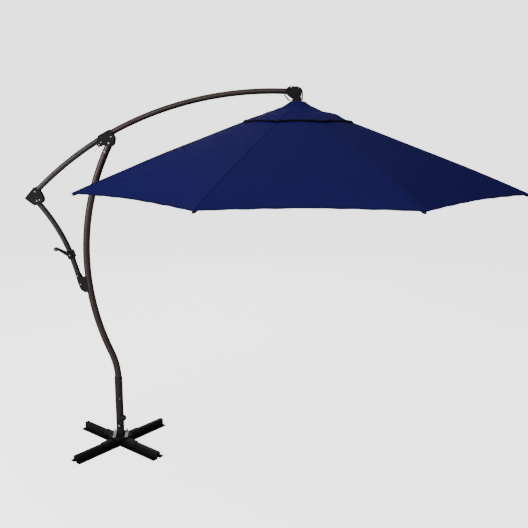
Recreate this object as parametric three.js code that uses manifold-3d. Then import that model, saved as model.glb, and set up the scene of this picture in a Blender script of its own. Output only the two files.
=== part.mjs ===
// A cantilever patio umbrella: a cross base with a post, an S-shaped mast that swivels in it,
// an arm that hangs the canopy beside the mast, a strut with the lifting crank, and an octagonal
// canopy of eight hinged ribs with stretchers and a runner.
// Units are millimetres. +Z is up and +X runs from the mast to the canopy.
// The origin is on the ground under the axis of the post.

import * as THREE from 'three';
import { mergeVertices } from 'three/addons/utils/BufferGeometryUtils.js';
import Module from 'manifold-3d';

const wasm = await Module();
wasm.setup();

// ---------------------------------------------------------------- driving dimensions

const GAP = 0.3; // between faces that meet
const RUNNING = 0.5; // radial room round a pin or shaft with flat facets
const TAU = 2 * Math.PI;

// Base: four hat-section arms, a saddle over their ridges, and the post
const BASE_TURN = 6; // degrees that the cross is turned from the diagonal
const ARM = { reach: 405, width: 96, ridge: 30, height: 48, wall: 5 };
const SADDLE = { reach: 168, wall: 4, skirt: 20, plate: 124 };
const COLUMN = 15; // radius of the saddle's foot, which stands on the ground
const FLANGE = { radius: 62, thick: 6 };
const STUD = { radius: 5, across: 43, height: 25, bar: 3.4, barWidth: 20 };
const POST = { radius: 28, bore: 24.8, top: 500, sides: 24 };
const COLLAR = { radius: 28.8, bore: 26.4, height: 10 };
const KNOB = {
  z: 204,
  turn: -40,
  radius: 19,
  lobes: 5,
  lobe: 2.2,
  length: 20,
  boss: 3,
  bossRadius: 9,
  screw: 4,
};

// Mast: straight foot, a short bend back and a long bow forward
const MAST = { radius: 24, wall: 2, bowRadius: 1706, bowBack: 185, bowZ: 1382, topZ: 2184 };

// Arm over the mast: the boom and its tail are two arcs that meet in the top bracket
const TUBE = { radius: 19, wall: 1.6, sides: 14 };
const BOOM = { x: 1108.8, z: 220.3, radius: 2294.7, startX: -7, endX: 1205 };
const TAIL = { x: 1241.1, z: 64.8, radius: 2496.3, startX: -520, endX: -8 };
const STRUT = { x: -1381, z: 1023.5, radius: 1154.5, lowX: -226.5, lowZ: 1184, highZ: 1788 };
const CRANK = {
  z: 1408,
  armX: -84,
  armZ: 47,
  armThick: 8,
  hub: 13,
  shaft: 7.5,
  drum: 13,
  spindle: 4,
  knob: 13,
  knobLength: 30,
};
const HOUSING = { long: 58, wide: 47, deep: 48, bore: 20.2 };
const STRUT_BREAK = 18; // half the gap in the strut that the crank's shaft passes through

// Brackets: folded plates with a cheek on each side of the tubes
const BOLT = { radius: 4, head: 7, height: 4, sides: 12 };
const CHEEK = { inner: MAST.radius + 0.6, wall: 4 };
const TOP_BOLTS = { boom: [24, 2213], tail: [-43, 2177], mast: [8, 2171] };
const LUG = { x: -57, z: 2161 };
const PULL = { radius: 2, angle: 229, inside: 12, outside: 60 }; // the pull pin in the lug
const SIDE = { inner: TUBE.radius + 0.6, wall: 4 };
const CORNER_BOLTS = { tail: [-508, 1845.5], strut: [-500, 1781] };
const EAR_BOLTS = { upper: [-250, 1260], lower: [-231, 1198] };
const PAST = 50; // drills and cutters reach this far past the middle plane

// Head of the boom, where the canopy hangs from a cross pin
const PIN = { x: 1270, z: 2490, radius: 6 };
const HEAD = { inner: 19.5, wall: 4 };
const PULLEY = { radius: 23, halfWidth: 7, groove: 5 };
const YOKE = { thick: 9, foot: 6, halfWidth: 8, left: -59.5, right: 31 };

// Canopy: a regular octagon of eight gores, one rib under each seam
const CANOPY = {
  radius: 1500,
  apexZ: 2450,
  rimZ: 1889,
  bow: 10,
  ribs: 8,
  scallop: 0.018, // share of the radius that the hem curves in between two ribs
  mastScallop: 0.036, // the same in the gore beside the mast
};
const VENT = { radius: 388, hemZ: 2323, step: 12, neckRadius: 46, neckZ: 2450, dish: 0.28 };
const FABRIC = 1; // thickness of the cloth
const RIB = { pivotR: 52, width: 12, height: 15, wall: 1.2, tip: 1484, below: 11.5 };
const STAY = { jointR: 690, drop: 17, width: 8, depth: 11, lug: 2.2 };
const PIVOT = 2; // radius of the pivot pins of ribs and stretchers
const HUB = { radius: 62, core: 39, half: 11, slot: 13.2 };
const RUNNER = { radius: 62, core: 39, half: 10, slot: 9.2, stem: 12.5, stemBore: 10.5 };

// ---------------------------------------------------------------- finishes

const FINISH = {
  bronze: { color: 0x4b403d, roughness: 0.38, metalness: 0.55 },
  graphite: { color: 0x2b2a29, roughness: 0.42, metalness: 0.5 },
  black: { color: 0x151413, roughness: 0.5, metalness: 0.4 },
  plastic: { color: 0x1a1918, roughness: 0.55, metalness: 0.0 },
  steel: { color: 0xb9bbbd, roughness: 0.3, metalness: 0.9 },
  alloy: { color: 0x6d6a67, roughness: 0.4, metalness: 0.7 },
  navy: { color: 0x1c2a66, roughness: 0.85, metalness: 0.0 },
};

// ---------------------------------------------------------------- helpers

const rad = THREE.MathUtils.degToRad;
const umbrella = new THREE.Group();
const canopy = new THREE.Group();
canopy.position.x = PIN.x;
umbrella.add(canopy);

// A named mesh with a material of its own, added to a group
function add(name, geometry, finish, group = umbrella) {
  const mesh = new THREE.Mesh(geometry, new THREE.MeshStandardMaterial(FINISH[finish]));
  mesh.name = name;
  group.add(mesh);
  return mesh;
}

// Geometry to solid and back, for cutting and joining
function solid(geometry) {
  const bare = geometry.clone();
  bare.deleteAttribute('normal');
  bare.deleteAttribute('uv');
  const merged = mergeVertices(bare, 1e-3);
  return new wasm.Manifold(new wasm.Mesh({
    numProp: 3,
    vertProperties: merged.attributes.position.array,
    triVerts: new Uint32Array(merged.index.array),
  }));
}

function geometryOf(body) {
  const { vertProperties, triVerts } = body.getMesh();
  const geometry = new THREE.BufferGeometry();
  geometry.setAttribute('position', new THREE.BufferAttribute(vertProperties, 3));
  geometry.setIndex(new THREE.BufferAttribute(triVerts, 1));
  geometry.computeVertexNormals();
  return geometry;
}

function joined(...geometries) {
  return geometries.map(solid).reduce((whole, next) => whole.add(next));
}

function cut(body, ...geometries) {
  return geometries.map(solid).reduce((whole, next) => whole.subtract(next), body);
}

function box(x0, x1, y0, y1, z0, z1) {
  const geometry = new THREE.BoxGeometry(x1 - x0, y1 - y0, z1 - z0);
  return geometry.translate((x0 + x1) / 2, (y0 + y1) / 2, (z0 + z1) / 2);
}

// A round bar along Y, along Z or along X
function barY(x, z, radius, y0, y1, sides = 14) {
  return new THREE.CylinderGeometry(radius, radius, y1 - y0, sides).translate(x, (y0 + y1) / 2, z);
}

function barZ(x, y, radius, z0, z1, sides = 14) {
  const bar = new THREE.CylinderGeometry(radius, radius, z1 - z0, sides);
  return bar.rotateX(Math.PI / 2).translate(x, y, (z0 + z1) / 2);
}

function barX(y, z, radius, x0, x1, sides = 14) {
  const bar = new THREE.CylinderGeometry(radius, radius, x1 - x0, sides);
  return bar.rotateZ(Math.PI / 2).translate((x0 + x1) / 2, y, z);
}

// A profile of [radius, height] pairs turned about the Z axis
function turned(profile, sides) {
  const points = profile.map(([r, z]) => new THREE.Vector2(r, z));
  return new THREE.LatheGeometry(points, sides).rotateX(Math.PI / 2);
}

function ringPoints(radius, sides) {
  const corner = (_, i) => new THREE.Vector2(
    radius * Math.cos((TAU * i) / sides),
    radius * Math.sin((TAU * i) / sides),
  );
  return Array.from({ length: sides }, corner);
}

// A round tube with open ends along a curve
function tube(curve, radius, wall, steps, sides = TUBE.sides) {
  const section = new THREE.Shape(ringPoints(radius, sides));
  section.holes.push(new THREE.Path(ringPoints(radius - wall, sides).reverse()));
  return new THREE.ExtrudeGeometry(section, { steps, extrudePath: curve, bevelEnabled: false });
}

// A round rod along a curve
function rod(curve, radius, steps, sides = TUBE.sides) {
  const section = new THREE.Shape(ringPoints(radius, sides));
  return new THREE.ExtrudeGeometry(section, { steps, extrudePath: curve, bevelEnabled: false });
}

// A flat shape drawn in X and Z, given a thickness from y0 to y1
function plateY(shape, y0, y1, curveSegments = 4) {
  const options = { depth: y1 - y0, bevelEnabled: false, curveSegments };
  return new THREE.ExtrudeGeometry(shape, options).rotateX(Math.PI / 2).translate(0, y1, 0);
}

// An outline through corners [x, z, rounding]
function outline(corners) {
  const shape = new THREE.Shape();
  const count = corners.length;
  corners.forEach(([x, z, rounding], i) => {
    const here = new THREE.Vector2(x, z);
    const [beforeX, beforeZ] = corners[(i + count - 1) % count];
    const [afterX, afterZ] = corners[(i + 1) % count];
    const towards = (px, pz) => new THREE.Vector2(px, pz).sub(here).setLength(rounding).add(here);
    const start = towards(beforeX, beforeZ);
    const end = towards(afterX, afterZ);
    if (i === 0) shape.moveTo(start.x, start.y);
    else shape.lineTo(start.x, start.y);
    if (rounding > 0) shape.quadraticCurveTo(here.x, here.y, end.x, end.y);
  });
  shape.closePath();
  return shape;
}

// A bar with round ends from one point to another, in X and Z
function stadium(x0, z0, x1, z1, radius) {
  const along = Math.atan2(z1 - z0, x1 - x0);
  const shape = new THREE.Shape();
  shape.absarc(x1, z1, radius, along - Math.PI / 2, along + Math.PI / 2, false);
  shape.absarc(x0, z0, radius, along + Math.PI / 2, along + 1.5 * Math.PI, false);
  return shape;
}

// A bolt along Y: shank, hexagon head in front and nut behind
function boltY(x, z, radius, reach, headRadius, headHeight) {
  const shank = barY(x, z, radius, -reach - headHeight / 2, reach + headHeight / 2, 12);
  const head = barY(x, z, headRadius, -reach - headHeight, -reach, 6);
  const nut = barY(x, z, headRadius, reach, reach + headHeight, 6);
  return geometryOf(joined(shank, head, nut));
}

// An arc in the XZ plane
class Arc extends THREE.Curve {
  constructor(x, z, radius, from, to) {
    super();
    Object.assign(this, { x, z, radius, from, to });
  }

  getPoint(t, target = new THREE.Vector3()) {
    const angle = this.from + (this.to - this.from) * t;
    return target.set(
      this.x + this.radius * Math.cos(angle),
      0,
      this.z + this.radius * Math.sin(angle),
    );
  }
}

// The angle on an arc at which it has a given x, on its upper half, or a given z, on its right half
const angleAtX = (arc, x) => Math.acos((x - arc.x) / arc.radius);
const angleAtZ = (arc, z) => Math.asin((z - arc.z) / arc.radius);

// ---------------------------------------------------------------- base

const saddleTop = ARM.height + GAP + SADDLE.wall;
const plateTop = saddleTop + SADDLE.wall;
const flangeLow = plateTop + GAP;
const flangeTop = flangeLow + FLANGE.thick;

function hatSection() {
  const half = ARM.width / 2;
  const out = ARM.ridge / 2;
  const inner = out - ARM.wall;
  const roof = ARM.height - ARM.wall;
  const side = [
    [inner, 0],
    [half, 0],
    [half, ARM.wall],
    [out, ARM.wall],
    [out, ARM.height],
  ];
  const mirrored = side.map(([y, z]) => [-y, z]).reverse();
  const points = [...side, ...mirrored, [-inner, roof], [inner, roof]];
  return new THREE.Shape(points.map(([y, z]) => new THREE.Vector2(y, z)));
}

// One arm, mitred at the middle so that four of them meet on the diagonals
function baseArm() {
  const bar = new THREE.ExtrudeGeometry(hatSection(), { depth: ARM.reach, bevelEnabled: false });
  bar.rotateX(Math.PI / 2).rotateZ(Math.PI / 2);
  const far = ARM.reach + 10;
  const wedge = new THREE.Shape([
    new THREE.Vector2(GAP, 0),
    new THREE.Vector2(far + GAP, -far),
    new THREE.Vector2(far + GAP, far),
  ]);
  const mitre = new THREE.ExtrudeGeometry(wedge, { depth: 2 * ARM.height, bevelEnabled: false });
  mitre.translate(0, 0, -ARM.height / 2);
  const trimmed = solid(bar).intersect(solid(mitre));
  return geometryOf(cut(trimmed, barZ(0, 0, COLUMN + GAP + 1, -1, 2 * ARM.height, 20)));
}

const base = new THREE.Group();
base.rotation.z = rad(BASE_TURN);
umbrella.add(base);

for (let i = 0; i < 4; i += 1) {
  add(`base_arm_${i + 1}`, baseArm(), 'black', base).rotation.z = rad(45 + 90 * i);
}

// The saddle: a cross of channels over the ridges with a square plate on top
function saddle() {
  const inside = ARM.ridge / 2 + GAP;
  const outside = inside + SADDLE.wall;
  const low = ARM.height - SADDLE.skirt;
  const { reach, plate } = SADDLE;
  const body = joined(
    box(-reach, reach, -outside, outside, low, saddleTop),
    box(-outside, outside, -reach, reach, low, saddleTop),
    box(-plate / 2, plate / 2, -plate / 2, plate / 2, ARM.height + GAP, plateTop),
  );
  const past = reach + 1;
  const channels = cut(
    body,
    box(-past, past, -inside, inside, low - 1, ARM.height + GAP),
    box(-inside, inside, -past, past, low - 1, ARM.height + GAP),
  );
  return geometryOf(channels.add(solid(barZ(0, 0, COLUMN, 0, plateTop - 1, 20))));
}
add('base_saddle', saddle(), 'black', base).rotation.z = rad(45);

const studHoles = [-1, 1].flatMap((x) => [-1, 1].map((y) => [x * STUD.across, y * STUD.across]));

function postFlange() {
  const disc = solid(barZ(0, 0, FLANGE.radius + 12, flangeLow, flangeTop, 32));
  const hole = ([x, y]) => barZ(x, y, STUD.radius + RUNNING, flangeLow - 1, flangeTop + 1, 12);
  return geometryOf(cut(disc, ...studHoles.map(hole)));
}
add('post_flange', postFlange(), 'black', base);

// A washer bar with two studs and their nuts, one each side of the post
function studBar(side) {
  const x = side * STUD.across;
  const half = STUD.barWidth / 2;
  const low = flangeTop + GAP;
  const long = STUD.across + half;
  const parts = [box(x - half, x + half, -long, long, low, low + STUD.bar)];
  for (const y of [-STUD.across, STUD.across]) {
    parts.push(barZ(x, y, STUD.radius, flangeLow + GAP, low + STUD.height, 12));
    parts.push(barZ(x, y, 1.9 * STUD.radius, low, low + STUD.bar + 8, 6));
  }
  const body = joined(...parts);
  return geometryOf(cut(body, barZ(0, 0, POST.radius + GAP, low - 1, low + 2 * STUD.height, POST.sides)));
}
add('stud_bar_left', studBar(-1), 'steel', base);
add('stud_bar_right', studBar(1), 'steel', base);

// The post: a tube that takes the mast, with a tapped hole for the clamp knob
function post() {
  const wall = turned([
    [POST.bore, flangeTop + GAP],
    [POST.radius, flangeTop + GAP],
    [POST.radius, POST.top],
    [POST.bore, POST.top],
    [POST.bore, flangeTop + GAP],
  ], POST.sides);
  const boss = barX(0, KNOB.z, KNOB.bossRadius, POST.radius - 1.5, POST.radius + KNOB.boss, 12);
  const hole = barX(0, KNOB.z, KNOB.screw + RUNNING, 0, POST.radius + 20, 12);
  const turn = rad(KNOB.turn);
  return geometryOf(cut(joined(wall, boss.rotateZ(turn)), hole.rotateZ(turn)));
}
add('post', post(), 'graphite');

const collarLow = POST.top + GAP;
add('post_collar', turned([
  [COLLAR.bore, collarLow],
  [COLLAR.radius, collarLow],
  [COLLAR.radius - 1.5, collarLow + COLLAR.height],
  [COLLAR.bore, collarLow + COLLAR.height],
  [COLLAR.bore, collarLow],
], POST.sides), 'plastic');

// The clamp knob: a lobed grip on a screw that presses on the mast
function clampKnob() {
  const sides = KNOB.lobes * 6;
  const grip = new THREE.Shape(Array.from({ length: sides }, (_, i) => {
    const angle = (TAU * i) / sides;
    const radius = KNOB.radius + KNOB.lobe * Math.cos(KNOB.lobes * angle);
    return new THREE.Vector2(radius * Math.cos(angle), radius * Math.sin(angle));
  }));
  const start = POST.radius + KNOB.boss + GAP;
  const body = new THREE.ExtrudeGeometry(grip, { depth: KNOB.length, bevelEnabled: false });
  body.rotateY(Math.PI / 2).translate(start, 0, KNOB.z);
  return geometryOf(joined(body, barX(0, KNOB.z, KNOB.screw, MAST.radius + GAP, start + 1, 12)));
}
add('clamp_knob', clampKnob(), 'plastic').rotation.z = rad(KNOB.turn);

// ---------------------------------------------------------------- mast

// The short bend is the arc that joins the upright foot to the long bow
const bendRise = MAST.bowZ - POST.top;
const bendTurn = 2 * Math.atan(MAST.bowBack / bendRise);
const bendRadius = bendRise / Math.sin(bendTurn) - MAST.bowRadius;
const mastFoot = flangeTop + 3;
const bow = { x: MAST.bowRadius - MAST.bowBack, z: MAST.bowZ, radius: MAST.bowRadius };
const bowEnd = Math.asin((MAST.topZ - MAST.bowZ) / MAST.bowRadius);

// The mast's centre line, with rings of the tube at the ends of the foot and of the bend
class MastLine extends THREE.Curve {
  constructor() {
    super();
    const ground = new THREE.Vector3(0, 0, mastFoot);
    this.pieces = [
      { curve: new THREE.LineCurve3(ground, new THREE.Vector3(0, 0, POST.top)), steps: 1 },
      { curve: new Arc(-bendRadius, POST.top, bendRadius, 0, bendTurn), steps: 3 },
      { curve: new Arc(bow.x, bow.z, bow.radius, Math.PI + bendTurn, Math.PI - bowEnd), steps: 12 },
    ];
    this.steps = this.pieces.reduce((sum, piece) => sum + piece.steps, 0);
  }

  getPoint(t, target = new THREE.Vector3()) {
    let ring = t * this.steps;
    for (const { curve, steps } of this.pieces) {
      if (ring <= steps) return curve.getPoint(ring / steps, target);
      ring -= steps;
    }
    return this.pieces.at(-1).curve.getPoint(1, target);
  }

  getUtoTmapping(u) {
    return u;
  }
}
const mastLine = new MastLine();
add('mast', tube(mastLine, MAST.radius, MAST.wall, mastLine.steps, 16), 'bronze');

// ---------------------------------------------------------------- boom, tail and strut

const boomArc = (x0, x1) => new Arc(BOOM.x, BOOM.z, BOOM.radius, angleAtX(BOOM, x0), angleAtX(BOOM, x1));
const tailArc = (x0, x1) => new Arc(TAIL.x, TAIL.z, TAIL.radius, angleAtX(TAIL, x0), angleAtX(TAIL, x1));
const strutArc = (z0, z1) => new Arc(
  STRUT.x,
  STRUT.z,
  STRUT.radius,
  angleAtZ(STRUT, z0),
  angleAtZ(STRUT, z1),
);

add('boom', tube(boomArc(BOOM.startX, BOOM.endX), TUBE.radius, TUBE.wall, 10), 'bronze');
add('tail_arm', tube(tailArc(TAIL.startX, TAIL.endX), TUBE.radius, TUBE.wall, 5), 'graphite');

// The crank shaft passes between the two lengths of the strut
const upperLine = strutArc(CRANK.z + STRUT_BREAK, STRUT.highZ);
add('strut_upper', tube(upperLine, TUBE.radius, TUBE.wall, 5), 'graphite');
const strutFoot = new THREE.Vector3(STRUT.lowX, 0, STRUT.lowZ);
const strutJoin = strutArc(CRANK.z - STRUT_BREAK, CRANK.z).getPoint(0);
const lowerLine = new THREE.LineCurve3(strutFoot, strutJoin);
add('strut_lower', tube(lowerLine, TUBE.radius, TUBE.wall, 1), 'graphite');

// ---------------------------------------------------------------- top bracket

const cheekOut = CHEEK.inner + CHEEK.wall;

const boltHole = ([x, z]) => barY(x, z, BOLT.radius + RUNNING, -PAST, PAST, BOLT.sides);

// A bolt through two cheeks whose outer faces are this far from the middle plane
function cheekBolt([x, z], out) {
  return boltY(x, z, BOLT.radius, out + GAP, BOLT.head, BOLT.height);
}

// Points at a height above the arm's centre line, measured square to it
function aboveArm(arc, x, height) {
  const angle = angleAtX(arc, x);
  return [x + height * Math.cos(angle), arc.z + arc.radius * Math.sin(angle) + height * Math.sin(angle)];
}

function topBracket() {
  const cheek = outline([
    [-64, 2217, 4],
    [8, 2262, 10],
    [27, 2250, 8],
    [48, 2207, 10],
    [41, 2165, 10],
    [23, 2149, 6],
    [-28, 2157, 4],
    [-44, 2154, 3],
    [-60, 2143, 6],
    [-78, 2163, 4],
  ]);
  const [lowX, lowZ] = aboveArm(TAIL, -55, TUBE.radius + 1);
  const [highX, highZ] = aboveArm(BOOM, 17, TUBE.radius + 1);
  const roof = stadium(lowX, lowZ + 3, highX, highZ + 3, 1.5);
  const lugBlock = stadium(LUG.x - 4, LUG.z - 6, LUG.x + 3, LUG.z + 1, 6);
  const body = joined(
    plateY(cheek, -cheekOut, -CHEEK.inner),
    plateY(cheek, CHEEK.inner, cheekOut),
    plateY(roof, -cheekOut, cheekOut),
    plateY(lugBlock, -cheekOut, cheekOut),
  );
  return geometryOf(cut(body, ...Object.values(TOP_BOLTS).map(boltHole), pullPinBore()));
}

// The pull pin slides down and outwards from the lug
function alongPull(radius, from, to, sides = 10) {
  const bar = new THREE.CylinderGeometry(radius, radius, to - from, sides).translate(0, (from + to) / 2, 0);
  return bar.rotateZ(-Math.PI / 2).rotateY(-rad(PULL.angle)).translate(LUG.x, 0, LUG.z);
}

function pullPinBore() {
  return alongPull(PULL.radius + RUNNING, -PAST, PAST);
}

function pullPin() {
  return geometryOf(joined(
    alongPull(PULL.radius, -PULL.inside, PULL.outside),
    alongPull(1.8 * PULL.radius, PULL.outside - 6, PULL.outside),
  ));
}

add('top_bracket', topBracket(), 'black');
add('pull_pin', pullPin(), 'steel');
for (const [name, place] of Object.entries(TOP_BOLTS)) {
  add(`bolt_top_${name}`, cheekBolt(place, cheekOut), 'steel');
}

// ---------------------------------------------------------------- corner bracket

const sideOut = SIDE.inner + SIDE.wall;

function cornerBracket() {
  const cheek = outline([
    [-584, 1799, 6],
    [-514, 1879, 8],
    [-474, 1844, 14],
    [-454, 1796, 16],
    [-462, 1770, 8],
    [-518, 1748, 12],
  ]);
  const upperWeb = stadium(-578, 1800, -517, 1869, 2);
  const lowerWeb = stadium(-578, 1797, -540, 1768, 2);
  const body = joined(
    plateY(cheek, -sideOut, -SIDE.inner),
    plateY(cheek, SIDE.inner, sideOut),
    plateY(upperWeb, -sideOut, sideOut),
    plateY(lowerWeb, -sideOut, sideOut),
  );
  return geometryOf(cut(body, ...Object.values(CORNER_BOLTS).map(boltHole)));
}

// The arm and strut tubes are drilled for the bolts that carry them
function drilled(name, ...places) {
  const mesh = umbrella.getObjectByName(name);
  mesh.geometry = geometryOf(cut(solid(mesh.geometry), ...places.map(boltHole)));
}

add('corner_bracket', cornerBracket(), 'black');
for (const [name, place] of Object.entries(CORNER_BOLTS)) {
  add(`bolt_corner_${name}`, cheekBolt(place, sideOut), 'steel');
}

// ---------------------------------------------------------------- lower bracket

function lowerBracket() {
  const cheek = outline([
    [-265, 1272, 8],
    [-247, 1196, 20],
    [-232, 1158, 14],
    [-204, 1141, 8],
    [-150, 1144, 0],
    [-150, 1258, 0],
    [-203, 1258, 6],
    [-220, 1240, 10],
    [-238, 1274, 8],
  ]);
  const web = stadium(-226, 1158, -200, 1147, 2);
  const body = joined(
    plateY(cheek, -sideOut, -SIDE.inner),
    plateY(cheek, SIDE.inner, sideOut),
    plateY(web, -sideOut, sideOut),
  );
  const past = Math.max(...EAR_BOLTS.upper) + PAST;
  const seat = new Arc(bow.x, bow.z, bow.radius, Math.PI + 0.2, Math.PI + 0.02);
  return geometryOf(cut(
    body,
    ...Object.values(EAR_BOLTS).map(boltHole),
    rod(seat, MAST.radius + GAP + 0.4, 10, 24),
    box(-179, 0, -PAST, PAST, POST.top, past),
  ));
}

add('lower_bracket', lowerBracket(), 'black');
for (const [name, place] of Object.entries(EAR_BOLTS)) {
  add(`bolt_lower_${name}`, cheekBolt(place, sideOut), 'steel');
}

drilled('mast', TOP_BOLTS.mast);
drilled('tail_arm', CORNER_BOLTS.tail);
drilled('strut_upper', CORNER_BOLTS.strut);
drilled('strut_lower', EAR_BOLTS.upper, EAR_BOLTS.lower);

// ---------------------------------------------------------------- crank

const crankTurn = angleAtZ(STRUT, CRANK.z);
const crankX = STRUT.x + STRUT.radius * Math.cos(crankTurn);
const housingFront = -HOUSING.deep / 2;

// The housing is a block bored along the strut and across for the shaft
function crankHousing() {
  const { long, wide, deep, bore } = HOUSING;
  const shape = outline([
    [-wide / 2, -long / 2, 9],
    [wide / 2, -long / 2, 9],
    [wide / 2, long / 2, 9],
    [-wide / 2, long / 2, 9],
  ]);
  const body = cut(
    solid(plateY(shape, -deep / 2, deep / 2)),
    barZ(0, 0, bore, -long, long, 20),
    barY(0, 0, CRANK.shaft + RUNNING, -deep, deep, 16),
  );
  return geometryOf(body).rotateY(-crankTurn).translate(crankX, 0, CRANK.z);
}

const armY = housingFront - 2 * CRANK.armThick;

// The crank: hand arm, boss, shaft and the cord drum inside the strut
function crankArm() {
  const { armX, armZ, armThick, hub, shaft, drum, spindle, knobLength } = CRANK;
  const along = Math.atan2(armZ, armX);
  const arm = new THREE.Shape();
  arm.absarc(0, 0, hub + 2, along + Math.PI / 2, along + 1.5 * Math.PI, false);
  arm.absarc(armX, armZ, 2 * spindle, along - Math.PI / 2, along + Math.PI / 2, false);
  const body = joined(
    plateY(arm, armY, armY + armThick, 6),
    barY(0, 0, hub, armY, housingFront - GAP, 18),
    barY(0, 0, shaft, armY + 1, HOUSING.deep / 2 + 5, 16),
    barY(0, 0, drum, -11, 11, 18),
    barY(armX, armZ, spindle, armY - knobLength, armY + 1, 12),
  );
  return geometryOf(body).translate(crankX, 0, CRANK.z);
}

// A grip that turns on the spindle at the end of the arm
function crankKnob() {
  const bore = CRANK.spindle + RUNNING;
  const long = CRANK.knobLength;
  const profile = [
    [bore, GAP],
    [9, GAP],
    [11, 4],
    [CRANK.knob, 18],
    [11.5, long - 3],
    [7, long],
    [bore, long],
    [bore, GAP],
  ];
  const grip = turned(profile, 18).rotateX(Math.PI / 2);
  return grip.translate(crankX + CRANK.armX, armY, CRANK.z + CRANK.armZ);
}

add('crank_housing', crankHousing(), 'black');
add('crank_arm', crankArm(), 'plastic');
add('crank_knob', crankKnob(), 'plastic');

// ---------------------------------------------------------------- head of the boom

// Two round cheeks on a plug that closes the end of the boom
function boomHead() {
  const outer = HEAD.inner + HEAD.wall;
  const head = outline([
    [1192, 2530, 8],
    [1214, 2546, 10],
    [1276, 2546, 14],
    [1294, 2524, 12],
    [1295, 2486, 10],
    [1284, 2464, 8],
    [1240, 2462, 10],
    [1206, 2484, 14],
    [1192, 2502, 8],
  ]);
  const body = joined(
    plateY(head, -outer, -HEAD.inner, 9),
    plateY(head, HEAD.inner, outer, 9),
    box(BOOM.endX + 1, BOOM.endX + 8, -outer, outer, 2494, 2529),
  );
  return geometryOf(cut(body, barY(PIN.x, PIN.z, PIN.radius + RUNNING, -PAST, PAST, 16)));
}
add('boom_head', boomHead(), 'black');

const pinReach = HEAD.inner + HEAD.wall + GAP;
add('hub_pin', boltY(PIN.x, PIN.z, PIN.radius, pinReach, 9, BOLT.height), 'black');

// The grooved wheel that the lifting cord runs over
function pulley() {
  const { radius, halfWidth, groove } = PULLEY;
  const bore = PIN.radius + RUNNING;
  const profile = [
    [bore, -halfWidth],
    [radius, -halfWidth],
    [radius, -groove],
    [radius - groove, 0],
    [radius, groove],
    [radius, halfWidth],
    [bore, halfWidth],
    [bore, -halfWidth],
  ];
  return turned(profile, 24).rotateX(Math.PI / 2).translate(PIN.x, 0, PIN.z);
}
add('head_pulley', pulley(), 'alloy');

// ---------------------------------------------------------------- canopy frame

const slope = (CANOPY.apexZ - CANOPY.rimZ) / CANOPY.radius;

// Height of the fabric above a rib at a distance from the canopy's axis
function fabricZ(r) {
  const share = r / CANOPY.radius;
  return CANOPY.apexZ - slope * r + CANOPY.bow * Math.sin(Math.PI * share * share);
}

const ribZ = (r) => fabricZ(r) - RIB.below;
const pivotZ = ribZ(RIB.pivotR);
const jointZ = ribZ(STAY.jointR) - STAY.drop;
// The stretcher is as long as the distance from rib pivot to stretcher joint,
// so the runner stays right below the hub at every opening angle
const runnerZ = 2 * jointZ - pivotZ;

const spokes = Array.from({ length: CANOPY.ribs }, (_, i) => rad(22.5 + 45 * i));

// Slots from the edge of a disc to its core, one for each rib
function spokeSlots(width, core, z0, z1) {
  const slot = (angle) => box(core, 2 * core, -width / 2, width / 2, z0, z1).rotateZ(angle);
  return spokes.map(slot);
}

// A pivot pin across each slot
function spokePins(width, z) {
  const half = width / 2 + 1;
  return spokes.map((angle) => barY(RIB.pivotR, z, PIVOT, -half, half, 8).rotateZ(angle));
}

// The hub: a slotted disc with a neck, two lugs for the cross pin and a socket below
function canopyHub() {
  const { radius, core, half, slot } = HUB;
  const socket = RUNNER.stem + 1.2;
  const disc = turned([
    [0, pivotZ - half - 36],
    [socket + 5, pivotZ - half - 36],
    [socket + 7, pivotZ - half],
    [radius, pivotZ - half],
    [radius, pivotZ + half - 4],
    [radius - 8, pivotZ + half],
    [30, pivotZ + half + 3],
    [17, CANOPY.apexZ - 9],
    [17, CANOPY.apexZ + 2],
    [0, CANOPY.apexZ + 2],
  ], 32);
  const lug = outline([
    [-36, CANOPY.apexZ - 8, 2],
    [25, CANOPY.apexZ - 8, 2],
    [25, CANOPY.apexZ + 22, 8],
    [13, PIN.z + 14, 10],
    [-13, PIN.z + 14, 10],
    [-34, CANOPY.apexZ + 16, 8],
  ]);
  const body = cut(
    joined(disc, plateY(lug, 10, 15), plateY(lug, -15, -10)),
    ...spokeSlots(slot, core, pivotZ - half - 1, pivotZ + half + 1),
    barZ(0, 0, socket, pivotZ - half - 40, pivotZ - half + 2, 20),
    barY(0, PIN.z, PIN.radius + RUNNING, -PAST, PAST, 16),
  );
  return geometryOf(body.add(joined(...spokePins(slot, pivotZ))));
}
add('canopy_hub', canopyHub(), 'black', canopy);

// The yoke: a strap on the neck with a stop leg under the boom and a guard over the wheel
function hubYoke() {
  const { thick, foot, halfWidth, left, right } = YOKE;
  const low = CANOPY.apexZ + 2 + GAP;
  const half = thick / 2;
  const sole = foot / 2;
  // up the far side of the head and back over its wheel
  const line = [
    [right, low + half],
    [right + 1, PIN.z],
    [right - 1, PIN.z + 26],
    [right - 10, PIN.z + 42],
    [right - 26, PIN.z + 50],
  ];
  const runs = line.slice(1).map(([x, z], i) => stadium(line[i][0], line[i][1], x, z, half));
  runs.push(stadium(left, low + sole, right, low + sole, sole));
  runs.push(stadium(left, low + half, left - 26, PIN.z, half));
  return geometryOf(joined(...runs.map((run) => plateY(run, -halfWidth, halfWidth, 3))));
}
add('hub_yoke', hubYoke(), 'black', canopy);

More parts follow.
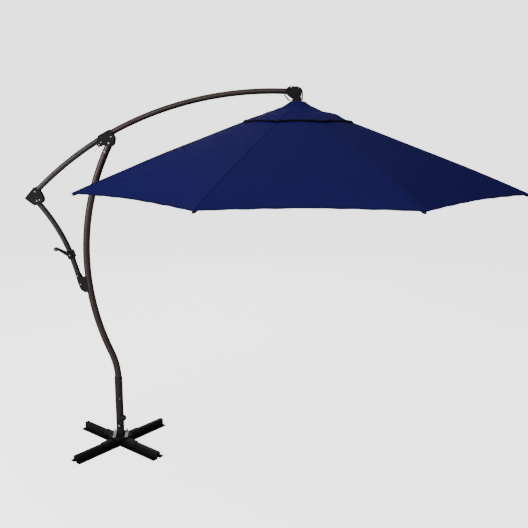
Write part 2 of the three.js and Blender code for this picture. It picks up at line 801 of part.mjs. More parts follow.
// The runner: a slotted disc on a stem that slides up into the hub
function runner() {
  const { radius, core, half, slot, stem, stemBore } = RUNNER;
  const disc = turned([
    [0, runnerZ - half - 20],
    [14, runnerZ - half - 18],
    [24, runnerZ - half],
    [radius, runnerZ - half],
    [radius, runnerZ + half],
    [22, runnerZ + half],
    [18, runnerZ + half + 14],
    [0, runnerZ + half + 14],
  ], 32);
  const tubeTop = pivotZ - HUB.half - 6;
  const body = cut(
    joined(disc, barZ(0, 0, stem, runnerZ, tubeTop, 18)),
    ...spokeSlots(slot, core, runnerZ - half - 1, runnerZ + half + 1),
    barZ(0, 0, stemBore, runnerZ + half, tubeTop + 1, 18),
  );
  return geometryOf(body.add(joined(...spokePins(slot, runnerZ))));
}
add('runner', runner(), 'black', canopy);

// The centre line of a rib, bowed a little by the pull of the fabric
class RibLine extends THREE.Curve {
  getPoint(t, target = new THREE.Vector3()) {
    const start = RIB.pivotR - 6;
    const r = start + (RIB.tip - start) * t;
    return target.set(r, 0, ribZ(r));
  }
}

function ribSection() {
  const rectangle = (w, h) => [[-w, -h], [w, -h], [w, h], [-w, h]].map(([x, y]) => new THREE.Vector2(x, y));
  const w = RIB.width / 2;
  const h = RIB.height / 2;
  const section = new THREE.Shape(rectangle(w, h));
  section.holes.push(new THREE.Path(rectangle(w - RIB.wall, h - RIB.wall).reverse()));
  return section;
}

// A rib: a rectangular tube with two lugs below it for the stretcher
function rib() {
  const options = { steps: 6, extrudePath: new RibLine(), bevelEnabled: false };
  const bar = new THREE.ExtrudeGeometry(ribSection(), options);
  const lug = stadium(STAY.jointR, jointZ, STAY.jointR + 2, jointZ + 9, 6);
  const inner = STAY.width / 2 + 0.4;
  const outer = inner + STAY.lug - 0.8;
  const body = joined(
    bar,
    plateY(lug, inner, outer),
    plateY(lug, -outer, -inner),
    barY(STAY.jointR, jointZ, PIVOT, -outer, outer, 8),
  );
  return geometryOf(cut(body, barY(RIB.pivotR, pivotZ, PIVOT + RUNNING, -PAST, PAST, 8)));
}

function stretcher() {
  const bar = stadium(STAY.jointR, jointZ, RIB.pivotR, runnerZ, STAY.depth / 2);
  const body = solid(plateY(bar, -STAY.width / 2, STAY.width / 2));
  const ends = [[STAY.jointR, jointZ], [RIB.pivotR, runnerZ]];
  const holes = ends.map(([x, z]) => barY(x, z, PIVOT + RUNNING, -PAST, PAST, 8));
  return geometryOf(cut(body, ...holes));
}

// ---------------------------------------------------------------- canopy fabric

// Height of the fabric's outer face: the vent cap over the middle, then the main canopy
function skinZ(r) {
  if (r > VENT.radius) return fabricZ(r);
  const share = (r - VENT.neckRadius) / (VENT.radius - VENT.neckRadius);
  const drop = VENT.neckZ - VENT.hemZ;
  return VENT.neckZ - drop * (VENT.dish * (1 - (1 - share) ** 5) + (1 - VENT.dish) * share);
}

// One rib's share of the fabric, from mid-gore to mid-gore, as a thin closed shell.
// Across is -1 to 1; the hem curves in between the rib tips.
// mastSide is the sign of the side that faces the gore beside the mast, or 0.
function canopyPanel(mastSide) {
  const ventRows = [VENT.neckRadius, 70, 120, 240, VENT.radius];
  const mainRows = [VENT.radius + VENT.step, 800, 1080, 1290, CANOPY.radius];
  const rows = [...ventRows, ...mainRows];
  const columns = [-1, -0.6, 0, 0.6, 1];
  const half = Math.PI / CANOPY.ribs;
  const edge = 1 - GAP / 500; // keeps neighbouring panels apart
  const positions = [];
  for (const lift of [0, -FABRIC]) {
    rows.forEach((r) => {
      const free = Math.max(0, (r - VENT.radius) / (CANOPY.radius - VENT.radius));
      columns.forEach((across) => {
        const side = Math.abs(across);
        const deep = mastSide !== 0 && Math.sign(across) === mastSide;
        const scallop = deep ? CANOPY.mastScallop : CANOPY.scallop;
        const pull = 1 - scallop * free * free * side * (2 - side);
        const reach = r * pull;
        const inward = Math.sin(half) ** 2 * side * reach;
        const y = Math.cos(half) * Math.sin(half) * across * reach * edge;
        positions.push(reach - inward, y, skinZ(reach) + lift);
      });
    });
  }
  const wide = columns.length;
  const layer = rows.length * wide;
  const index = [];
  const quad = (a, b, c, d) => index.push(a, b, c, a, c, d);
  for (let i = 0; i < rows.length - 1; i += 1) {
    for (let j = 0; j < wide - 1; j += 1) {
      const a = i * wide + j;
      quad(a, a + wide, a + wide + 1, a + 1);
      quad(a + layer, a + layer + 1, a + layer + wide + 1, a + layer + wide);
    }
    const left = i * wide;
    const right = left + wide - 1;
    quad(left, left + layer, left + layer + wide, left + wide);
    quad(right, right + wide, right + wide + layer, right + layer);
  }
  for (let j = 0; j < wide - 1; j += 1) {
    const last = layer - wide + j;
    quad(j, j + 1, j + 1 + layer, j + layer);
    quad(last, last + layer, last + layer + 1, last + 1);
  }
  const geometry = new THREE.BufferGeometry();
  geometry.setAttribute('position', new THREE.BufferAttribute(new Float32Array(positions), 3));
  geometry.setIndex(index);
  geometry.computeVertexNormals();
  return geometry;
}

// The two ribs on either side of the mast, and on which side of them it stands
const BESIDE_MAST = { 3: 1, 4: -1 };

spokes.forEach((angle, i) => {
  const spoke = new THREE.Group();
  spoke.rotation.z = angle;
  canopy.add(spoke);
  add(`rib_${i + 1}`, rib(), 'alloy', spoke);
  add(`stretcher_${i + 1}`, stretcher(), 'alloy', spoke);
  add(`canopy_panel_${i + 1}`, canopyPanel(BESIDE_MAST[i] ?? 0), 'navy', spoke);
});

export default umbrella;
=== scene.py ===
import math

import bmesh
import bpy
import numpy as np
from mathutils import Matrix, Vector


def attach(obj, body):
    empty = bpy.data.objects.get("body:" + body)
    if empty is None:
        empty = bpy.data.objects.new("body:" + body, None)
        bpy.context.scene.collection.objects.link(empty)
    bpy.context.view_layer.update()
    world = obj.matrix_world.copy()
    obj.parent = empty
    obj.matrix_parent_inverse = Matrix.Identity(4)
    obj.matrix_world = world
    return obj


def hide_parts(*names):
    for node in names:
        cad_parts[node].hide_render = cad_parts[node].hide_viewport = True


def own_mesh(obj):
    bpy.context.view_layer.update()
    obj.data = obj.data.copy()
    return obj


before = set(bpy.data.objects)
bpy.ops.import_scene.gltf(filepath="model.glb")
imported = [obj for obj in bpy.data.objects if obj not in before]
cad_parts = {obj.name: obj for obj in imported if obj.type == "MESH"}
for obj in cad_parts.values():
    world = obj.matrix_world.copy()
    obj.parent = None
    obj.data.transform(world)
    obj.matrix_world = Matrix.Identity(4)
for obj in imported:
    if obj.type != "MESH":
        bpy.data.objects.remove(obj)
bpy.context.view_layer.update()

# ------------------------------------------------------------------ camera

CAMERA_AT = (1.049, -4.752, 2.323)
LENS, SENSOR = 47.4, 36  # in millimetres
PITCH, ROLL, YAW = math.radians(-11.66), math.radians(0.14), math.radians(-0.01)
camera = bpy.data.objects.new("camera", bpy.data.cameras.new("camera"))
bpy.context.scene.collection.objects.link(camera)
camera.data.lens = LENS
camera.data.sensor_width = SENSOR
camera.location = CAMERA_AT
aim = Matrix.Rotation(YAW, 4, "Z") @ Matrix.Rotation(math.pi / 2 + PITCH, 4, "X")
turn = aim @ Matrix.Rotation(ROLL, 4, "Z")
camera.rotation_euler = turn.to_euler()
bpy.context.scene.camera = camera

# ------------------------------------------------------------------ dimensions, in metres

PIN = (1.270, 0.0, 2.490)
AXIS = 1.270
MAST_R, TUBE_R = 0.024, 0.019
POST_R, POST_TOP = 0.028, 0.500
BOW_R, BOW_BACK, BOW_Z, MAST_TOP = 1.706, 0.185, 1.382, 2.184
R, APEX, RIM, BOW = 1.5, 2.450, 1.889, 0.010
SCALLOP, MAST_SCALLOP = 0.018, 0.036  # of the canopy's radius; the gore beside the mast is cut deeper
VENT_R, VENT_HEM, VENT_HOLE = 0.388, 2.323, 0.280
NECK_R, NECK_Z = 0.046, 2.450
VENT_DISH = 0.28  # share of the vent's fall that it takes early, near its neck
# height, count round the vent, twist and phase of its folds; height, radius and width of its loose rolls
VENT_FOLDS = ((0.0034, 5, 26, 0.0), (0.0022, 9, -34, 1.0), (0.0016, 14, 15, 2.0))
VENT_ROLLS = ((0.010, 0.263, 0.042), (-0.005, 0.342, 0.032))
RIBS = 8
HALF = math.pi / RIBS
FLANGE_TOP = 0.0626
KNOB_Z = 0.204


# ------------------------------------------------------------------ node helpers


class Nodes:
    """A material's node tree, with short calls for what repeats."""

    def __init__(self, name):
        self.mat = bpy.data.materials.new(name)
        self.mat.use_nodes = True
        self.tree = self.mat.node_tree
        self.shader = self.tree.nodes["Principled BSDF"]

    def node(self, kind, links=None, **values):
        made = self.tree.nodes.new("ShaderNode" + kind)
        for key, value in values.items():
            setattr(made, key, value)
        for socket, source in (links or {}).items():
            target = made.inputs[socket]
            if isinstance(source, bpy.types.NodeSocket):
                self.tree.links.new(source, target)
            else:
                target.default_value = source
        return made

    def math(self, operation, a, b=0.0):
        return self.node("Math", {0: a, 1: b}, operation=operation).outputs[0]

    def coords(self, which="Object"):
        return self.node("TexCoord").outputs[which]

    def noise(self, vector, scale, detail=3.0, roughness=0.5):
        links = {"Vector": vector, "Scale": scale, "Detail": detail, "Roughness": roughness}
        return self.node("TexNoise", links).outputs["Fac"]

    def ramp(self, factor, stops):
        ramp = self.node("ValToRGB", {"Fac": factor})
        elements = ramp.color_ramp.elements
        while len(elements) < len(stops):
            elements.new(0.5)
        for element, (place, color) in zip(elements, stops):
            element.position = place
            element.color = (*color, 1) if len(color) == 3 else color
        return ramp.outputs["Color"]

    def mix(self, factor, a, b):
        made = self.node("Mix", data_type="RGBA")
        for index, source in ((0, factor), (6, a), (7, b)):
            if isinstance(source, bpy.types.NodeSocket):
                self.tree.links.new(source, made.inputs[index])
            elif index == 0:
                made.inputs[index].default_value = source
            else:
                made.inputs[index].default_value = (*source, 1)
        return made.outputs[2]

    def bump(self, height, strength, distance, under=None):
        links = {"Height": height, "Strength": strength, "Distance": distance}
        if under is not None:
            links["Normal"] = under
        return self.node("Bump", links).outputs["Normal"]

    def set(self, **values):
        names = {"color": "Base Color", "rough": "Roughness", "metal": "Metallic", "normal": "Normal",
                 "spec": "Specular IOR Level", "tint": "Specular Tint"}
        for key, value in values.items():
            target = self.shader.inputs[names[key]]
            if isinstance(value, bpy.types.NodeSocket):
                self.tree.links.new(value, target)
            else:
                target.default_value = (*value, 1) if key in ("color", "tint") else value
        return self.mat


def srgb(r, g, b):
    """sRGB 0-255 to linear."""
    part = lambda v: v / 12.92 if v <= 0.04045 else ((v + 0.055) / 1.055) ** 2.4
    return tuple(part(v / 255) for v in (r, g, b))


def powder_coat(name, color, light, rough=0.42, metal=0.35, fleck=0.5, wear=(0.22, 0.2, 0.19), spec=0.2,
                rub=0.35, tint=(1, 1, 1)):
    """Painted metal: orange peel, a fine metallic fleck, cloudy gloss and slightly rubbed edges."""
    n = Nodes(name)
    place = n.coords()
    cloud = n.noise(place, 9.0, 4.0)
    grain = n.noise(place, 2600.0, 1.0)
    sparkle = n.ramp(grain, [(0.60, (0, 0, 0)), (0.74, (1, 1, 1))])
    body = n.mix(n.math("MULTIPLY", cloud, 0.7), color, light)
    flecked = n.mix(n.math("MULTIPLY", sparkle, fleck), body, tuple(min(1, 2.4 * c + 0.03) for c in light))
    point = n.node("NewGeometry").outputs["Pointiness"]
    edge = n.ramp(point, [(0.53, (0, 0, 0)), (0.60, (1, 1, 1))])
    scratches = n.ramp(n.noise(place, 160.0, 6.0, 0.7), [(0.52, (0, 0, 0)), (0.66, (1, 1, 1))])
    worn = n.math("MULTIPLY", n.math("MULTIPLY", edge, scratches), rub)
    final = n.mix(worn, flecked, wear)
    gloss = n.noise(place, 38.0, 5.0)
    spread = n.node("MapRange", {"Value": gloss, "To Min": rough - 0.07, "To Max": rough + 0.10})
    peel = n.noise(place, 520.0, 2.0)
    normal = n.bump(peel, 0.10, 0.0006, n.bump(grain, 0.05, 0.0002))
    return n.set(color=final, rough=spread.outputs[0], metal=metal, normal=normal, spec=spec, tint=tint)


def bare_metal(name, color, dark, rough=0.3, scale=900.0):
    """Zinc plate or alloy: fine directional grain and dull patches."""
    n = Nodes(name)
    place = n.coords()
    drawn = n.node("Mapping", {"Vector": place, "Scale": (1.0, 0.06, 1.0)}).outputs[0]
    grain = n.noise(drawn, scale, 3.0, 0.7)
    patch = n.noise(place, 60.0, 5.0, 0.6)
    tint = n.mix(n.ramp(patch, [(0.40, (0, 0, 0)), (0.68, (1, 1, 1))]), color, dark)
    spread = n.node("MapRange", {"Value": patch, "To Min": rough - 0.08, "To Max": rough + 0.18})
    return n.set(color=tint, rough=spread.outputs[0], metal=0.6, normal=n.bump(grain, 0.12, 0.0002))


def moulded(name, color, light, rough=0.5):
    """Moulded plastic: leathery spark-erosion grain with scuffed edges."""
    n = Nodes(name)
    place = n.coords()
    cells = n.node("TexVoronoi", {"Vector": place, "Scale": 1500.0}).outputs["Distance"]
    cloud = n.noise(place, 25.0, 4.0)
    point = n.node("NewGeometry").outputs["Pointiness"]
    edge = n.math("MULTIPLY", n.ramp(point, [(0.52, (0, 0, 0)), (0.62, (1, 1, 1))]), 0.4)
    tint = n.mix(edge, n.mix(cloud, color, light), tuple(min(1, 2.2 * c + 0.02) for c in light))
    spread = n.node("MapRange", {"Value": cloud, "To Min": rough - 0.06, "To Max": rough + 0.1})
    leather = n.bump(cells, 0.25, 0.0002)
    return n.set(color=tint, rough=spread.outputs[0], metal=0.0, normal=leather, spec=0.14)


def cloth(name, color, light, pitch=0.0008, stitches=()):
    """Woven polyester on a UV map in metres. stitches are (across, spacing) rows along V."""
    n = Nodes(name)
    uv = n.coords("UV")
    split = n.node("SeparateXYZ", {"Vector": uv})
    u, v = split.outputs[0], split.outputs[1]
    wave = 2 * math.pi / pitch
    warp = n.math("SINE", n.math("MULTIPLY", u, wave))
    weft = n.math("SINE", n.math("MULTIPLY", v, wave))
    over = n.math("MULTIPLY", warp, weft)
    weave = n.node("MapRange", {"Value": over, "From Min": -1.0, "To Min": 0.0, "To Max": 1.0}).outputs[0]
    slub = n.noise(n.node("Mapping", {"Vector": uv, "Scale": (40.0, 900.0, 1.0)}).outputs[0], 1.0, 3.0, 0.6)
    fade = n.noise(n.coords(), 1.6, 4.0, 0.55)
    tone = n.math("ADD", n.math("MULTIPLY", weave, 0.25), n.math("MULTIPLY", slub, 0.35))
    tint = n.mix(n.math("ADD", tone, n.math("MULTIPLY", fade, 0.35)), color, light)
    normal = n.bump(weave, 0.35, 0.0003, n.bump(fade, 0.25, 0.004))
    for across, spacing in stitches:
        near = n.math("COMPARE", u, across)
        near.node.inputs[2].default_value = 0.0007
        along = n.math("FRACT", n.math("DIVIDE", v, spacing))
        dash = n.math("MULTIPLY", near, n.math("LESS_THAN", along, 0.68))
        tint = n.mix(dash, tint, tuple(min(1, 1.7 * c + 0.01) for c in light))
        normal = n.bump(dash, 0.5, 0.0006, normal)
    return n.set(color=tint, rough=0.82, metal=0.0, normal=normal, spec=0.06)


# painted shade: a near-black reflection tint at grazing angles darkens the edges of the mast, boom, tail,
# strut and post
PAINTED_RIM_SHADE = (0.02, 0.02, 0.02)
TUBE_PAINT_AND_RIM_SHADE = {"metal": 0.9, "rub": 0.06, "tint": PAINTED_RIM_SHADE}
BRONZE = powder_coat("bronze_paint", srgb(55, 46, 44), srgb(80, 70, 67), 0.50, **TUBE_PAINT_AND_RIM_SHADE)
GRAPHITE = powder_coat("graphite_paint", srgb(46, 43, 42), srgb(74, 70, 68), 0.46, **TUBE_PAINT_AND_RIM_SHADE)
POST_PAINT = powder_coat("post_paint", srgb(40, 35, 34), srgb(68, 60, 58), 0.38, **TUBE_PAINT_AND_RIM_SHADE)
BLACK = powder_coat("black_paint", srgb(10, 8, 9), srgb(21, 18, 19), 0.50, 0.1, fleck=0.15,
                    wear=(0.06, 0.055, 0.05), spec=0.09)
BRACKET = powder_coat("bracket_paint", srgb(19, 16, 18), srgb(34, 29, 33), 0.50, 0.1, fleck=0.2,
                      wear=(0.07, 0.06, 0.06), spec=0.09)
RIB_PAINT = powder_coat("rib_paint", srgb(46, 42, 41), srgb(78, 74, 72), 0.4, 0.5)
STEEL = bare_metal("zinc_plate", srgb(196, 198, 200), srgb(140, 140, 142), 0.3)
PLASTIC = moulded("moulded_black", srgb(8, 7, 7), srgb(17, 16, 16))
PLASTIC_GREY = moulded("moulded_grey", srgb(38, 36, 36), srgb(58, 56, 56))
NAVY, NAVY_LIGHT = (0.0042, 0.0029, 0.050), (0.0074, 0.0058, 0.082)
CLOTH = cloth("canopy_cloth", NAVY, NAVY_LIGHT)
SEAM = cloth("canopy_seam", (0.0038, 0.0027, 0.046), (0.0068, 0.0053, 0.075),
             stitches=((-0.0055, 0.004), (0.0055, 0.004)))
HEM = cloth("canopy_hem", (0.0030, 0.0022, 0.034), (0.0054, 0.0042, 0.058),
            stitches=((0.0085, 0.004), (-0.0085, 0.004)))
# the vent's hem band is near black: partly its own dark binding, partly painted shadow from the cap's
# overhang
VENT_HEM_DARK_AND_SHADE = cloth("canopy_vent_binding_and_shade", (0.0004, 0.0005, 0.0016), (0.0008, 0.0009, 0.0030),
                       stitches=((0.0085, 0.004), (-0.0085, 0.004)))
WEB = cloth("canopy_webbing", (0.0006, 0.0008, 0.006), (0.0012, 0.0016, 0.012), pitch=0.0016)

# ------------------------------------------------------------------ mesh helpers


def piece(name, verts, faces, mat, body, uvs=None, sharp=35, cad=(), normals=None):
    """A mesh piece that rides on a body and replaces some CAD nodes."""
    mesh = bpy.data.meshes.new(name)
    mesh.from_pydata([tuple(map(float, v)) for v in verts], [], faces)
    mesh.materials.append(mat)
    mesh.shade_smooth()
    if uvs is not None:
        layer = mesh.uv_layers.new(name="UVMap")
        flat = [uvs[index] for face in faces for index in face]
        layer.data.foreach_set("uv", np.array(flat, np.float32).ravel())
    if sharp:
        mesh.set_sharp_from_angle(angle=math.radians(sharp))
    if normals is not None:
        mesh.normals_split_custom_set_from_vertices([tuple(map(float, v)) for v in normals])
    obj = bpy.data.objects.new(name, mesh)
    bpy.context.scene.collection.objects.link(obj)
    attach(obj, body)
    if cad:
        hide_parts(*cad)
    return obj


def grid_faces(rows, columns, closed=False):
    """Quads of a grid of rows by columns, whose columns may join round."""
    faces = []
    wide = columns if closed else columns - 1
    for i in range(rows - 1):
        for j in range(wide):
            k = (j + 1) % columns
            a, b = i * columns, (i + 1) * columns
            faces.append((a + j, a + k, b + k, b + j))
    return faces


def ring(radius, sides):
    return [(radius * math.cos(2 * math.pi * k / sides), radius * math.sin(2 * math.pi * k / sides))
            for k in range(sides)]


def along(points):
    """Unit tangents of a line of (x, z) points."""
    p = np.array(points, float)
    t = np.gradient(p, axis=0)
    return t / np.linalg.norm(t, axis=1)[:, None]


def tube(name, points, radius, wall, mat, body, cad=(), sides=40):
    """A round tube in the XZ plane with rolled ends."""
    p, t = np.array(points, float), along(points)
    n = np.stack([-t[:, 1], t[:, 0]], axis=1)
    lip = min(0.0006, wall / 3)
    shells = [(0, radius - wall), (0, radius - lip), (lip, radius)]
    rows = []
    last = len(p) - 1
    for offset, r in shells:
        rows.append((p[0] + t[0] * offset, n[0], r))
    rows += [(p[i], n[i], radius) for i in range(1, last)]
    for offset, r in reversed(shells):
        rows.append((p[last] - t[last] * offset, n[last], r))
    rows += [(p[i], n[i], radius - wall) for i in range(last - 1, 0, -1)]
    verts, uvs = [], []
    length = 0
    before = rows[0][0]
    for centre, normal, r in rows:
        length += float(np.linalg.norm(centre - before))
        before = centre
        for k, (a, b) in enumerate(ring(r, sides)):
            verts.append((centre[0] + normal[0] * a, b, centre[1] + normal[1] * a))
            uvs.append((2 * math.pi * radius * k / sides, length))
    faces = grid_faces(len(rows), sides, True)
    end = (len(rows) - 1) * sides
    faces += [(end + k, end + (k + 1) % sides, (k + 1) % sides, k) for k in range(sides)]
    obj = piece(name, verts, faces, mat, body, uvs, cad=cad)
    fix_normals(obj)
    return obj


def fix_normals(obj):
    work = bmesh.new()
    work.from_mesh(obj.data)
    bmesh.ops.recalc_face_normals(work, faces=work.faces)
    work.to_mesh(obj.data)
    work.free()
    obj.data.set_sharp_from_angle(angle=math.radians(35))


AXES = {
    "X": Matrix.Rotation(math.pi / 2, 4, "Y"),
    "Y": Matrix.Rotation(-math.pi / 2, 4, "X"),
    "Z": Matrix.Identity(4),
}


def turned(name, profile, at, axis, mat, body, sides=40, cad=(), sharp=35, lobes=None):
    """A closed profile of (radius, height) pairs turned about an axis through a point.
    lobes is a function of angle, radius and height that scales the radius."""
    frame_at = Matrix.Translation(at) @ (AXES[axis] if isinstance(axis, str) else axis)
    verts = []
    for r, h in profile:
        for k in range(sides):
            angle = 2 * math.pi * k / sides
            grow = lobes(angle, r, h) if lobes else 1
            verts.append(frame_at @ Vector((r * grow * math.cos(angle), r * grow * math.sin(angle), h)))
    faces = grid_faces(len(profile), sides, True)
    if profile[0] != profile[-1]:
        faces.append(tuple(range(sides)))
        end = (len(profile) - 1) * sides
        faces.append(tuple(range(end, end + sides)))
    obj = piece(name, verts, faces, mat, body, cad=cad, sharp=sharp)
    merge(obj)
    return obj


def merge(obj, distance=1e-6):
    work = bmesh.new()
    work.from_mesh(obj.data)
    bmesh.ops.remove_doubles(work, verts=work.verts, dist=distance)
    bmesh.ops.recalc_face_normals(work, faces=work.faces)
    work.to_mesh(obj.data)
    work.free()
    obj.data.set_sharp_from_angle(angle=math.radians(35))


def hexagon(angle):
    """Scale of a circle's radius that makes it a hexagon with the circle through its corners."""
    within = (angle % (math.pi / 3)) - math.pi / 6
    return math.cos(math.pi / 6) / math.cos(within)


def facing(x, y, z):
    """A turn that brings the Z axis to a direction."""
    return Vector((x, y, z)).to_track_quat("Z", "Y").to_matrix().to_4x4()


def button_head(name, at, axis, size, mat, body, cad=(), washer=None):
    """A domed head with a hexagon socket, size being its radius, on a washer of its own material."""
    foot = 0.0
    if washer:
        foot = 0.0014
        disc = [(0.0, -0.002), (1.5 * size, -0.002), (1.5 * size, foot - 0.0004), (1.44 * size, foot),
                (0.0, foot)]
        turned(name + "_washer", disc, at, axis, washer, body, 40)
    profile = [(0.0, -0.002), (size, -0.002), (size, foot + 0.16 * size), (0.93 * size, foot + 0.34 * size),
               (0.74 * size, foot + 0.50 * size), (0.50 * size, foot + 0.57 * size),
               (0.45 * size, foot + 0.55 * size), (0.42 * size, foot + 0.20 * size),
               (0.0, foot + 0.16 * size)]
    shape = lambda angle, r, h: hexagon(angle) if r < 0.46 * size and h > foot else 1
    return turned(name, profile, at, axis, mat, body, 48, cad, 30, shape)


def lock_nut(name, at, axis, size, mat, body):
    """A washer, a chamfered hexagon nut with its collar, and the end of the bolt."""
    profile = [(0.0, -0.002), (1.42 * size, -0.002), (1.42 * size, 0.0010), (1.36 * size, 0.0014),
               (1.02 * size, 0.0015), (1.10 * size, 0.0020), (1.10 * size, 0.0014 + 0.72 * size),
               (0.98 * size, 0.0014 + 0.86 * size), (0.80 * size, 0.0014 + 0.90 * size),
               (0.76 * size, 0.0014 + 1.10 * size), (0.60 * size, 0.0014 + 1.14 * size),
               (0.55 * size, 0.0014 + 1.05 * size), (0.55 * size, 0.0014 + 1.35 * size),
               (0.46 * size, 0.0014 + 1.48 * size), (0.0, 0.0014 + 1.48 * size)]
    shape = lambda angle, r, h: hexagon(angle) if 0.97 * size < r < 1.2 * size and h > 0.0014 else 1
    return turned(name, profile, at, axis, mat, body, 48, (), 30, shape)


FRONT, BACK = facing(0, -1, 0), facing(0, 1, 0)


def cross_bolt(name, cad, x, z, out, size):
    """A bolt through two cheeks: its head in front, its nut behind. out is the cheeks' outer faces."""
    button_head(name + "_head", (x, -out, z), FRONT, size, STEEL, "mast_frame", [cad], BRACKET)
    lock_nut(name + "_nut", (x, out, z), BACK, size, STEEL, "mast_frame")


def bevelled(name, mat, width=0.0008, segments=2, smooth=32):
    """A carried-over CAD node: its material, rounded edges and smooth shading on its round faces."""
    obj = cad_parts[name]
    obj.data.materials.clear()
    obj.data.materials.append(mat)
    obj.data.shade_smooth()
    obj.data.set_sharp_from_angle(angle=math.radians(smooth))
    if width:
        bevel = obj.modifiers.new("edges", "BEVEL")
        bevel.width = width
        bevel.segments = segments
        bevel.limit_method = "ANGLE"
        bevel.angle_limit = math.radians(smooth)
        bevel.harden_normals = True
    return obj


# ------------------------------------------------------------------ lines of the frame


def arc(x, z, radius, start, end, count):
    angles = np.linspace(start, end, count)
    return np.stack([x + radius * np.cos(angles), z + radius * np.sin(angles)], axis=1)


bend_rise = BOW_Z - POST_TOP
bend_turn = 2 * math.atan(BOW_BACK / bend_rise)
bend_r = bend_rise / math.sin(bend_turn) - BOW_R
mast_points = np.concatenate([
    np.stack([np.zeros(6), np.linspace(FLANGE_TOP + 0.003, POST_TOP, 6)], axis=1),
    arc(-bend_r, POST_TOP, bend_r, 0, bend_turn, 12)[1:],
    arc(BOW_R - BOW_BACK, BOW_Z, BOW_R, math.pi + bend_turn,
        math.pi - math.asin((MAST_TOP - BOW_Z) / BOW_R), 40)[1:],
])
tube("mast_tube", mast_points, MAST_R, 0.002, BRONZE, "mast_frame", ["mast"], sides=56)


def arc_by_x(x, z, radius, x0, x1, count):
    return arc(x, z, radius, math.acos((x0 - x) / radius), math.acos((x1 - x) / radius), count)


def arc_by_z(x, z, radius, z0, z1, count):
    return arc(x, z, radius, math.asin((z0 - z) / radius), math.asin((z1 - z) / radius), count)


BOOM = (1.1088, 0.2203, 2.2947)
TAIL = (1.2411, 0.0648, 2.4963)
STRUT = (-1.381, 1.0235, 1.1545)
CRANK_Z = 1.408
tube("boom_tube", arc_by_x(*BOOM, -0.007, 1.205, 48), TUBE_R, 0.0016, BRONZE, "mast_frame", ["boom"],
     sides=48)
tube("tail_tube", arc_by_x(*TAIL, -0.520, -0.008, 24), TUBE_R, 0.0016, GRAPHITE, "mast_frame", ["tail_arm"])
tube("strut_upper_tube", arc_by_z(*STRUT, CRANK_Z + 0.018, 1.788, 20), TUBE_R, 0.0016, GRAPHITE, "mast_frame",
     ["strut_upper"])
strut_join = arc_by_z(*STRUT, CRANK_Z - 0.018, CRANK_Z, 2)[0]
strut_foot = np.array([-0.2265, 1.184])
strut_line = [strut_foot + (strut_join - strut_foot) * k / 6 for k in range(7)]
tube("strut_lower_tube", strut_line, TUBE_R, 0.0016, GRAPHITE, "mast_frame", ["strut_lower"])

# ------------------------------------------------------------------ post and base

turned("post_tube", [
    (0.0248, 0.0629), (POST_R, 0.0629), (POST_R, 0.495), (POST_R - 0.0006, POST_TOP), (0.0254, POST_TOP),
    (0.0248, 0.499), (0.0248, 0.0629),
], (0, 0, 0), "Z", POST_PAINT, "base", sides=56, cad=["post"])
KNOB_TURN = math.radians(-40)
knob_way = (math.cos(KNOB_TURN), math.sin(KNOB_TURN), 0)
turned("post_boss", [(0.0045, 0.0262), (0.0110, 0.0262), (0.0100, 0.0285), (0.0096, 0.0304), (0.0088, 0.0310),
                     (0.0045, 0.0310), (0.0045, 0.0262)],
       (0, 0, KNOB_Z), facing(*knob_way), POST_PAINT, "base", sides=40)


def weld(name, radius, z, mat, body, size=0.0035, ripples=46):
    """A weld bead round the foot of a tube, with the ripples of its run."""
    verts = []
    turns, around = ripples * 4, 8
    for i in range(turns):
        a = 2 * math.pi * i / turns
        swell = size * (1 + 0.14 * math.sin(ripples * a) + 0.08 * math.sin(7 * a + 1))
        for k in range(around):
            b = 2 * math.pi * k / around
            r = radius + 0.4 * size + swell * math.cos(b)
            verts.append((r * math.cos(a), r * math.sin(a), z + swell * max(math.sin(b), -0.05)))
    faces = grid_faces(turns, around, True)
    end = (turns - 1) * around
    faces += [(end + k, end + (k + 1) % around, (k + 1) % around, k) for k in range(around)]
    obj = piece(name, verts, faces, mat, body, sharp=0)
    merge(obj, 1e-7)
    return obj


weld("post_weld", POST_R, FLANGE_TOP, BLACK, "base")
bevelled("post_collar", PLASTIC, 0.0006)
for k in range(4):
    bevelled(f"base_arm_{k + 1}", BLACK, 0.0012, 3)
bevelled("base_saddle", BRACKET, 0.0010, 3)
bevelled("post_flange", BRACKET, 0.0010, 3)
bevelled("clamp_knob", PLASTIC, 0.0016, 3, smooth=50)
knob_end = Vector(knob_way) * (POST_R + 0.003 + 0.0003 + 0.020) + Vector((0, 0, KNOB_Z))
turned("clamp_knob_cap", [(0.0, -0.002), (0.0105, -0.002), (0.0105, 0.0), (0.0088, 0.0016), (0.0050, 0.0024),
                          (0.0, 0.0026)], knob_end, facing(*knob_way), PLASTIC_GREY, "clamp_knob", sides=32)

# the bolts that hold the post to its foot, on the front and the back
for label, angle, z, size in (("low", -96, 0.140, 0.0062), ("high", -72, 0.350, 0.0040)):
    for side, turned_by in (("front", 0), ("back", 180)):
        a = math.radians(angle + turned_by)
        way = Vector((math.cos(a), math.sin(a), 0))
        spot = way * (POST_R - 0.0003) + Vector((0, 0, z))
        button_head(f"post_bolt_{label}_{side}", spot, facing(*way), size, STEEL, "base")
